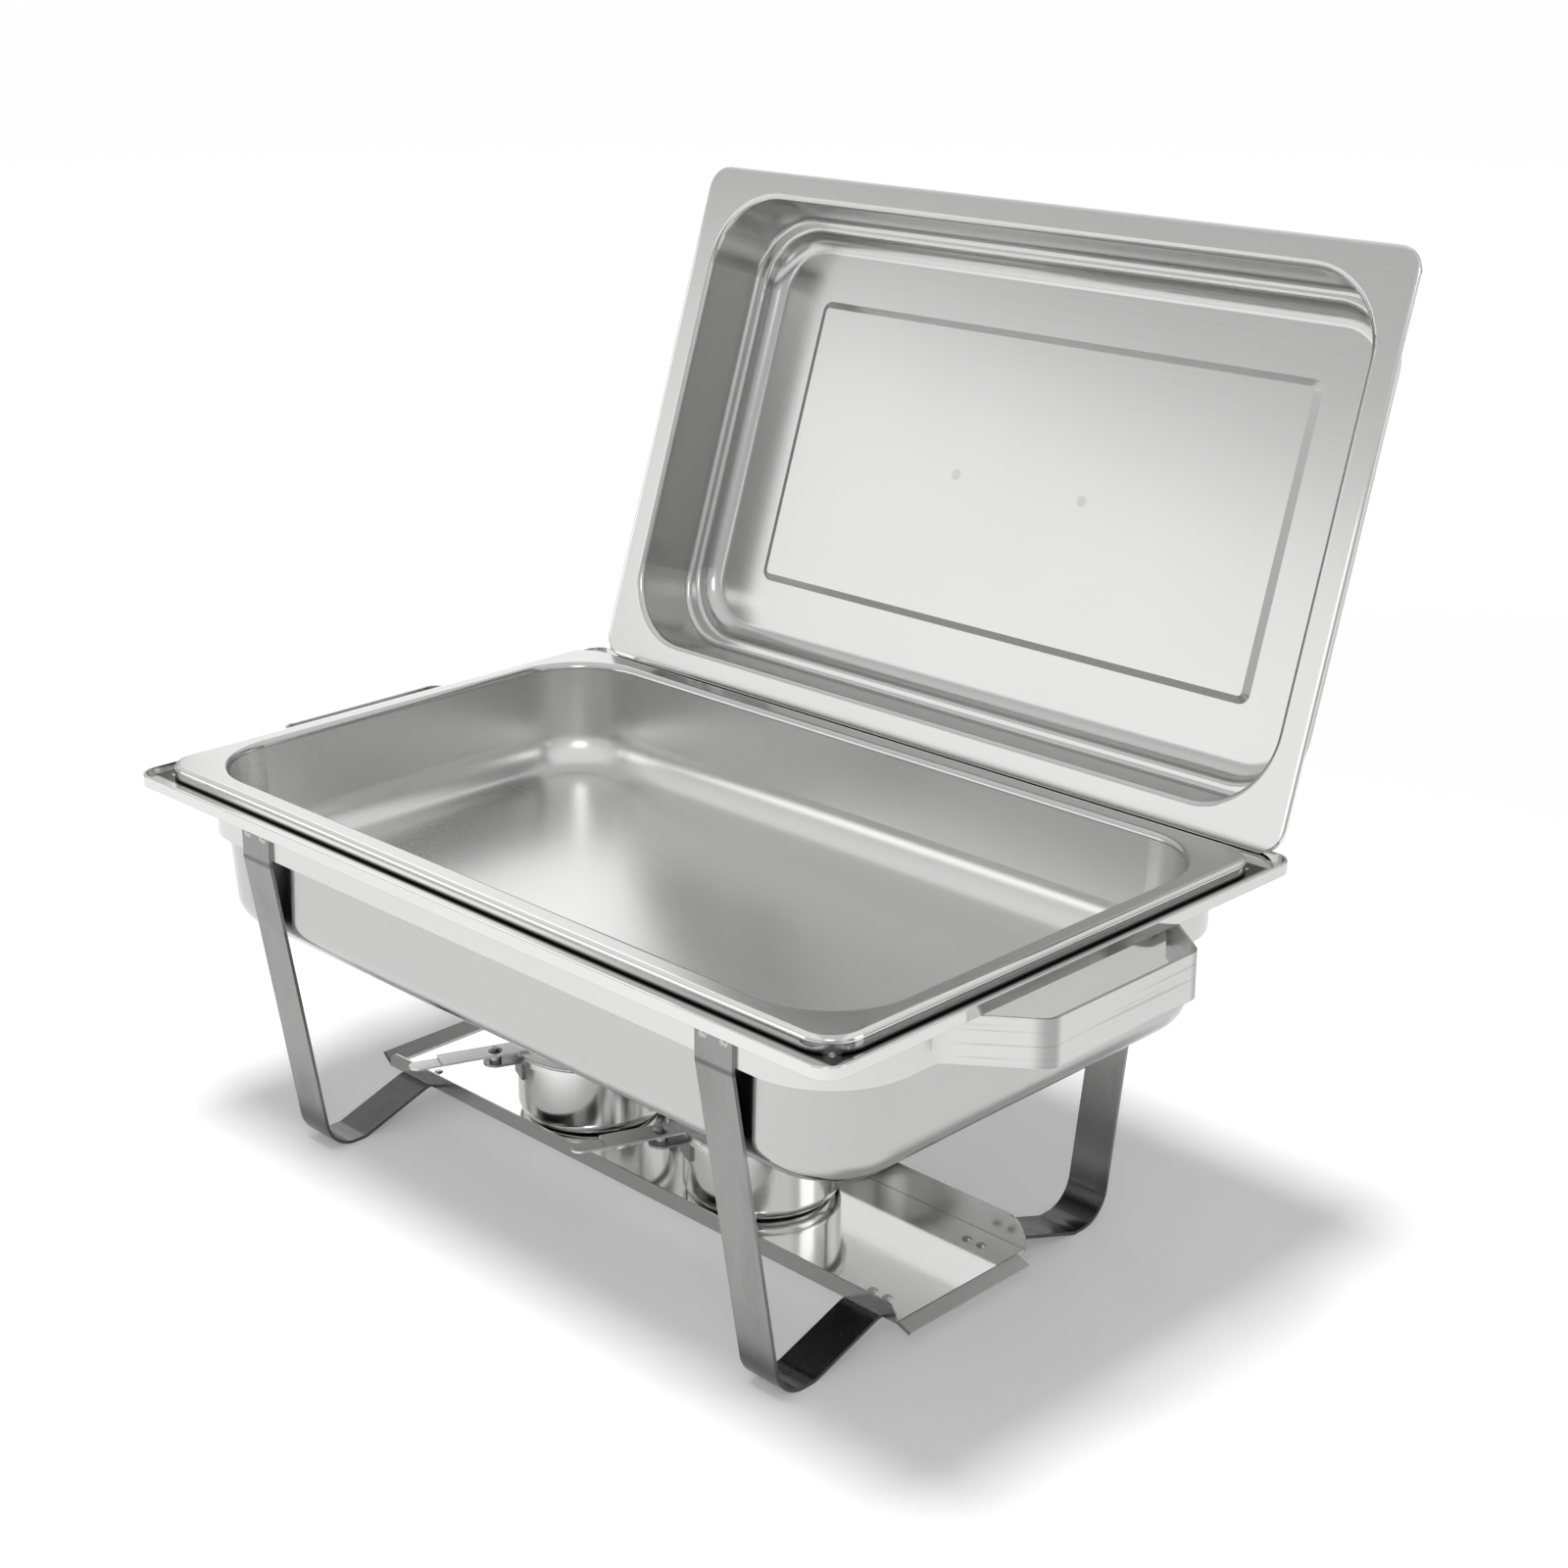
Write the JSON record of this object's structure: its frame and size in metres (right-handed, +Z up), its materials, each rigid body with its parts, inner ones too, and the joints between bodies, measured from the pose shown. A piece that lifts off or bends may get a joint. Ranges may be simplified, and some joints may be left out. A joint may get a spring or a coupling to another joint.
{
  "type": "chafing dish",
  "caption": "Full size stainless chafing dish: strap stand, hanging water pan, food pan, stand-up lid and fuel cups with swinging dampers on a tray.",
  "frame": {"origin": "on the table top, under the middle of the whole dish with its lid standing open", "axes": "+X along the long side of the dish, -Y towards the serving side, +Z up"},
  "size_m": [0.6, 0.4964, 0.5306],
  "materials": {
    "satin_pan_steel": "satin",
    "polished_steel": "polished",
    "satin_strap_steel": "brushed",
    "rivet_steel": "polished"
  },
  "bodies": {
    "stand": {"right_rail": "satin_strap_steel", "left_rail": "satin_strap_steel", "right_leg": "satin_strap_steel", "left_leg": "satin_strap_steel", "leg_rivets": "rivet_steel", "fuel_tray": "polished_steel", "tray_rivets": "rivet_steel"},
    "water_pan": {"water_pan": "polished_steel"},
    "food_pan": {"food_pan": "satin_pan_steel"},
    "lid": {"lid_cover": "satin_pan_steel", "lid_handle": "satin_strap_steel"},
    "left_cup": {"left_fuel_cup": "polished_steel", "left_cup_bracket": "satin_strap_steel", "left_pivot_spacer": "rivet_steel", "left_pivot_rivet": "rivet_steel"},
    "right_cup": {"right_fuel_cup": "polished_steel", "right_cup_bracket": "satin_strap_steel", "right_pivot_spacer": "rivet_steel", "right_pivot_rivet": "rivet_steel"},
    "left_damper": {"left_damper_cover": "polished_steel", "left_damper_arm": "satin_strap_steel", "left_damper_tab": "satin_strap_steel"},
    "right_damper": {"right_damper_cover": "polished_steel", "right_damper_arm": "satin_strap_steel", "right_damper_tab": "satin_strap_steel"}
  },
  "joints": [
    {"name": "water_pan_lift", "type": "slide", "parent": "stand", "child": "water_pan", "axis": [0, 0, 1], "range_m": [0, 0.1]},
    {"name": "food_pan_lift", "type": "slide", "parent": "water_pan", "child": "food_pan", "axis": [0, 0, 1], "range_m": [0, 0.08]},
    {"name": "lid_turn", "type": "hinge", "parent": "food_pan", "child": "lid", "pos_m": [0, 0.09448, 0.21867], "axis": [1, 0, 0], "range_deg": [0, 108.5]},
    {"name": "left_cup_lift", "type": "slide", "parent": "stand", "child": "left_cup", "axis": [0, 0, 1], "range_m": [0, 0.03]},
    {"name": "right_cup_lift", "type": "slide", "parent": "stand", "child": "right_cup", "axis": [0, 0, 1], "range_m": [0, 0.03]},
    {"name": "left_damper_turn", "type": "hinge", "parent": "left_cup", "child": "left_damper", "pos_m": [-0.10305, -0.12804, 0.063], "axis": [0, 0, 1], "range_deg": [-45, 0]},
    {"name": "right_damper_turn", "type": "hinge", "parent": "right_cup", "child": "right_damper", "pos_m": [0.03695, -0.12804, 0.063], "axis": [0, 0, 1], "range_deg": [-45, 0]}
  ]
}
